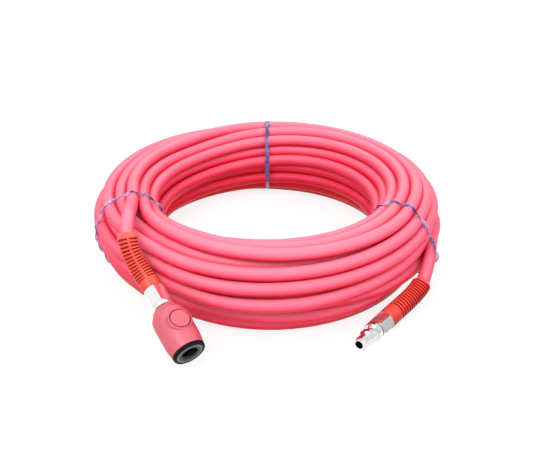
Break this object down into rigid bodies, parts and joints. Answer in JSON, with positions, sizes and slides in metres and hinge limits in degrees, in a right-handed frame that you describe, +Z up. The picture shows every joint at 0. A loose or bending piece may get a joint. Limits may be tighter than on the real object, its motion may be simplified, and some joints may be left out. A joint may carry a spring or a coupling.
{
  "type": "coiled air hose",
  "caption": "Soft air hose wound by hand into a tied coil, with a push-button quick socket on one end and a quick plug on the other, each with a bend guard.",
  "frame": {"origin": "on the floor under the middle of the part's bounding box", "axes": "+Z up, the coil lies flat on the floor; both ends of the hose are on the -Y side, the socket on the -X side and the plug on the +X side"},
  "size_m": [0.2916, 0.3246, 0.0839],
  "materials": {
    "hose_soft": "satin soft plastic",
    "guard_soft": "satin, slightly see-through",
    "shell_plastic": "gloss",
    "ring_black": "matte",
    "face_grey": "matte",
    "bright_metal": "nickel plated",
    "valve_brass": "machined",
    "spring_steel": "bright wire",
    "seal_rubber": "matte",
    "tie_film": "gloss film"
  },
  "bodies": {
    "hose": {"hose_core": "hose_soft", "hose_coil": "hose_soft", "hose_end_socket": "hose_soft", "hose_end_plug": "hose_soft", "tie_left": "tie_film", "tie_back": "tie_film", "tie_right": "tie_film", "socket_guard": "guard_soft", "socket_nut": "bright_metal", "socket_adapter": "bright_metal", "adapter_gasket": "seal_rubber", "socket_shell": "shell_plastic", "front_ring": "ring_black", "face_plate": "face_grey", "valve_body": "bright_metal", "nose_seal": "seal_rubber", "plug_guard": "guard_soft", "plug_nut": "bright_metal", "plug_body": "bright_metal", "button_spring": "spring_steel", "valve_spring": "spring_steel"},
    "latch": {"push_button": "shell_plastic", "latch_plate": "bright_metal"},
    "valve": {"valve_poppet": "valve_brass", "poppet_seal": "seal_rubber"}
  },
  "joints": [
    {"name": "button_press", "type": "slide", "parent": "hose", "child": "latch", "axis": [-0.2807, 0.2723, -0.9204], "range_m": [0, 0.0015], "stiffness_N_per_m": 3000, "springref_m": -0.001, "deforming": ["button_spring"]},
    {"name": "valve_travel", "type": "slide", "parent": "hose", "child": "valve", "axis": [-0.5032, 0.7748, 0.3827], "range_m": [0, 0.004], "stiffness_N_per_m": 1500, "springref_m": -0.002, "deforming": ["valve_spring"]}
  ]
}
